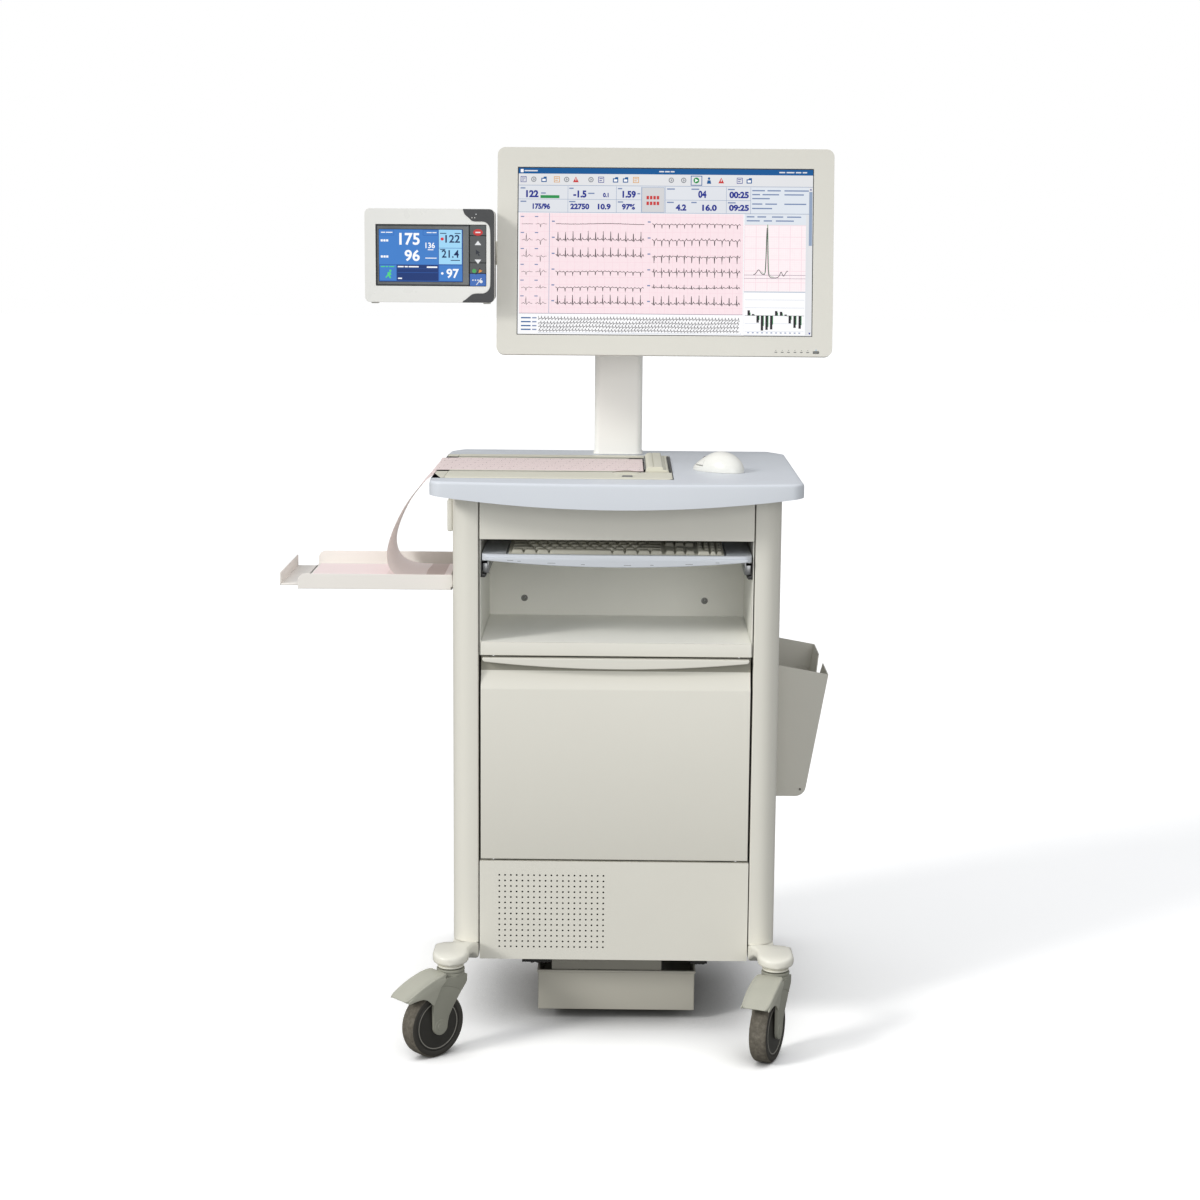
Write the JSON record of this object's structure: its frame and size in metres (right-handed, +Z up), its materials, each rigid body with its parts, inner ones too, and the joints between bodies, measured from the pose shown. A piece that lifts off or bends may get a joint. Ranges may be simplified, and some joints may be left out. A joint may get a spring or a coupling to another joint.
{
  "type": "stress ecg trolley",
  "caption": "Wheeled stress ECG cart: cabinet with strip-chart printer in the worktop, keyboard tray, computer bay, paper tray, bin, and a column with ECG and blood-pressure displays.",
  "frame": {"origin": "bottom centre of the whole machine's bounding box at rest, on the floor the wheels stand on", "axes": "+Z up; +Y towards the rear of the cart, so the screens, the door and the keyboard tray face -Y; +X to the right of a user facing the screens"},
  "size_m": [0.9878, 0.802, 1.5689],
  "materials": {
    "cabinet_paint": "satin powder coat",
    "worktop_shell": "satin moulded polymer",
    "cream_plastic": "fine-textured moulded plastic",
    "caster_plastic": "satin glass-filled nylon",
    "caster_hub": "satin",
    "tyre": "matte grey tread",
    "zinc_steel": "zinc plated",
    "black_metal": "satin black",
    "computer_metal": "satin dark grey",
    "monitor_plastic": "satin moulded plastic",
    "display_glass": "lit display",
    "bp_white": "semi-gloss moulded plastic",
    "bp_trim": "satin dark grey",
    "bp_display": "lit display",
    "bp_key": "satin membrane",
    "chart_paper": "matte, printed grid",
    "key_plastic": "fine texture",
    "mouse_plastic": "satin",
    "platen_rubber": "matte"
  },
  "bodies": {
    "cabinet": {"base_pan": "zinc_steel", "left_base_rail": "cabinet_paint", "right_base_rail": "cabinet_paint", "left_side_shell": "cabinet_paint", "right_side_shell": "cabinet_paint", "rear_panel": "cabinet_paint", "vent_panel": "cabinet_paint", "middle_shelf": "cabinet_paint", "bay_liner": "cabinet_paint", "upper_apron": "cabinet_paint", "worktop": "worktop_shell", "slide_outer_left": "zinc_steel", "slide_outer_right": "zinc_steel", "computer_unit": "computer_metal", "patient_lead_port": "cream_plastic", "printer_chassis": "cream_plastic", "print_head_bridge": "cream_plastic", "storage_bin": "cabinet_paint", "transformer_box": "cabinet_paint", "isolation_transformer": "black_metal", "column": "cabinet_paint"},
    "door": {"front_door": "cabinet_paint"},
    "keyboard_drawer": {"keyboard_tray": "worktop_shell", "keyboard": "key_plastic"},
    "printer_lid": {"printer_door": "cream_plastic", "chart_paper": "chart_paper"},
    "platen": {"platen_roller": "platen_rubber"},
    "lid_release": {"door_release_button": "computer_metal"},
    "side_tray": {"paper_tray": "cabinet_paint"},
    "mouse": {"mouse_shell": "mouse_plastic"},
    "mouse_left_key": {"mouse_button_left": "mouse_plastic"},
    "mouse_right_key": {"mouse_button_right": "mouse_plastic"},
    "mouse_scroll_wheel": {"mouse_wheel": "platen_rubber"},
    "display_arm": {"mount_crossbar": "cabinet_paint", "tilt_bracket": "black_metal"},
    "main_display": {"monitor_back": "monitor_plastic", "monitor_bezel": "monitor_plastic", "monitor_panel": "display_glass"},
    "monitor_power": {"monitor_power_button": "caster_plastic"},
    "bp_display": {"bp_back_shell": "bp_trim", "bp_front_bezel": "bp_white", "bp_screen": "bp_display"},
    "bp_stop_pad": {"bp_key_stop": "bp_key"},
    "bp_nav_pad": {"bp_key_nav": "bp_key"},
    "bp_run_pad": {"bp_key_run": "bp_key"},
    "bp_start_pad": {"bp_key_start": "bp_key"},
    "front_left_fork": {"front_left_caster_fork": "caster_plastic"},
    "front_left_wheel": {"front_left_caster_core": "caster_hub", "front_left_caster_tyre": "tyre"},
    "front_right_fork": {"front_right_caster_fork": "caster_plastic"},
    "front_right_wheel": {"front_right_caster_core": "caster_hub", "front_right_caster_tyre": "tyre"},
    "rear_left_fork": {"rear_left_caster_fork": "caster_plastic"},
    "rear_left_wheel": {"rear_left_caster_core": "caster_hub", "rear_left_caster_tyre": "tyre"},
    "rear_right_fork": {"rear_right_caster_fork": "caster_plastic"},
    "rear_right_wheel": {"rear_right_caster_core": "caster_hub", "rear_right_caster_tyre": "tyre"},
    "front_left_pedal": {"front_left_brake_pedal": "caster_plastic"},
    "front_right_pedal": {"front_right_brake_pedal": "caster_plastic"}
  },
  "joints": [
    {"name": "front_left_swivel", "type": "hinge", "parent": "cabinet", "child": "front_left_fork", "pos_m": [-0.1764, -0.2845, 0.145], "axis": [0, 0, 1], "continuous": true},
    {"name": "front_left_roll", "type": "hinge", "parent": "front_left_fork", "child": "front_left_wheel", "pos_m": [-0.20589, -0.31152, 0.058], "axis": [0.6756, -0.7373, 0], "continuous": true},
    {"name": "front_left_brake", "type": "hinge", "parent": "front_left_fork", "child": "front_left_pedal", "pos_m": [-0.19409, -0.30071, 0.1455], "axis": [0.6756, -0.7373, 0], "range_deg": [0, 6]},
    {"name": "front_right_swivel", "type": "hinge", "parent": "cabinet", "child": "front_right_fork", "pos_m": [0.3906, -0.2845, 0.145], "axis": [0, 0, 1], "continuous": true},
    {"name": "front_right_roll", "type": "hinge", "parent": "front_right_fork", "child": "front_right_wheel", "pos_m": [0.37581, -0.32166, 0.058], "axis": [0.9291, -0.3697, 0], "continuous": true},
    {"name": "front_right_brake", "type": "hinge", "parent": "front_right_fork", "child": "front_right_pedal", "pos_m": [0.38173, -0.3068, 0.1455], "axis": [0.9291, -0.3697, 0], "range_deg": [0, 6]},
    {"name": "rear_left_swivel", "type": "hinge", "parent": "cabinet", "child": "rear_left_fork", "pos_m": [-0.1764, 0.3705, 0.145], "axis": [0, 0, 1], "continuous": true},
    {"name": "rear_left_roll", "type": "hinge", "parent": "rear_left_fork", "child": "rear_left_wheel", "pos_m": [-0.17153, 0.3308, 0.058], "axis": [0.9925, 0.1219, 0], "continuous": true},
    {"name": "rear_right_swivel", "type": "hinge", "parent": "cabinet", "child": "rear_right_fork", "pos_m": [0.3906, 0.3705, 0.145], "axis": [0, 0, 1], "continuous": true},
    {"name": "rear_right_roll", "type": "hinge", "parent": "rear_right_fork", "child": "rear_right_wheel", "pos_m": [0.38642, 0.33072, 0.058], "axis": [0.9945, -0.1045, 0], "continuous": true},
    {"name": "door_drop", "type": "hinge", "parent": "cabinet", "child": "door", "pos_m": [0.1071, -0.19, 0.3185], "axis": [1, 0, 0], "range_deg": [0, 88]},
    {"name": "keyboard_slide", "type": "slide", "parent": "cabinet", "child": "keyboard_drawer", "axis": [0, -1, 0], "range_m": [0, 0.23]},
    {"name": "printer_lid_slide", "type": "slide", "parent": "cabinet", "child": "printer_lid", "axis": [-1, 0, 0], "range_m": [0, 0.14]},
    {"name": "platen_turn", "type": "hinge", "parent": "printer_lid", "child": "platen", "pos_m": [0.1451, 0.028, 0.9895], "axis": [0, 1, 0], "continuous": true},
    {"name": "lid_release_press", "type": "slide", "parent": "cabinet", "child": "lid_release", "axis": [0, 0, -1], "range_m": [0, 0.0025]},
    {"name": "side_tray_fold", "type": "hinge", "parent": "cabinet", "child": "side_tray", "pos_m": [-0.1814, 0.013, 0.7915], "axis": [0, -1, 0], "range_deg": [0, 90]},
    {"name": "mouse_move", "type": "slide", "parent": "cabinet", "child": "mouse", "axis": [1, 0, 0], "range_m": [-0.01, 0.09]},
    {"name": "mouse_left_click", "type": "hinge", "parent": "mouse", "child": "mouse_left_key", "pos_m": [0.27847, -0.04566, 1.0114], "axis": [-0.6947, -0.7193, 0], "range_deg": [0, 1.2]},
    {"name": "mouse_right_click", "type": "hinge", "parent": "mouse", "child": "mouse_right_key", "pos_m": [0.27847, -0.04566, 1.0114], "axis": [-0.6947, -0.7193, 0], "range_deg": [0, 1.2]},
    {"name": "mouse_scroll", "type": "hinge", "parent": "mouse", "child": "mouse_scroll_wheel", "pos_m": [0.26552, -0.03316, 1.0164], "axis": [-0.6947, -0.7193, 0], "continuous": true},
    {"name": "display_swivel", "type": "hinge", "parent": "cabinet", "child": "display_arm", "pos_m": [0.1071, 0.258, 1.356], "axis": [0, 0, 1], "range_deg": [-45, 45]},
    {"name": "monitor_tilt", "type": "hinge", "parent": "display_arm", "child": "main_display", "pos_m": [0.1891, 0.13, 1.382], "axis": [1, 0, 0], "range_deg": [-12, 13]},
    {"name": "monitor_power_press", "type": "slide", "parent": "main_display", "child": "monitor_power", "axis": [0, 0.9903, -0.1392], "range_m": [0, 0.0008]},
    {"name": "bp_tilt", "type": "hinge", "parent": "display_arm", "child": "bp_display", "pos_m": [-0.2324, 0.12, 1.376], "axis": [1, 0, 0], "range_deg": [-15, 20]},
    {"name": "bp_stop_press", "type": "slide", "parent": "bp_display", "child": "bp_stop_pad", "axis": [0, 1, 0], "range_m": [0, 0.001]},
    {"name": "bp_nav_press", "type": "slide", "parent": "bp_display", "child": "bp_nav_pad", "axis": [0, 1, 0], "range_m": [0, 0.001]},
    {"name": "bp_run_press", "type": "slide", "parent": "bp_display", "child": "bp_run_pad", "axis": [0, 1, 0], "range_m": [0, 0.001]},
    {"name": "bp_start_press", "type": "slide", "parent": "bp_display", "child": "bp_start_pad", "axis": [0, 1, 0], "range_m": [0, 0.001]}
  ]
}
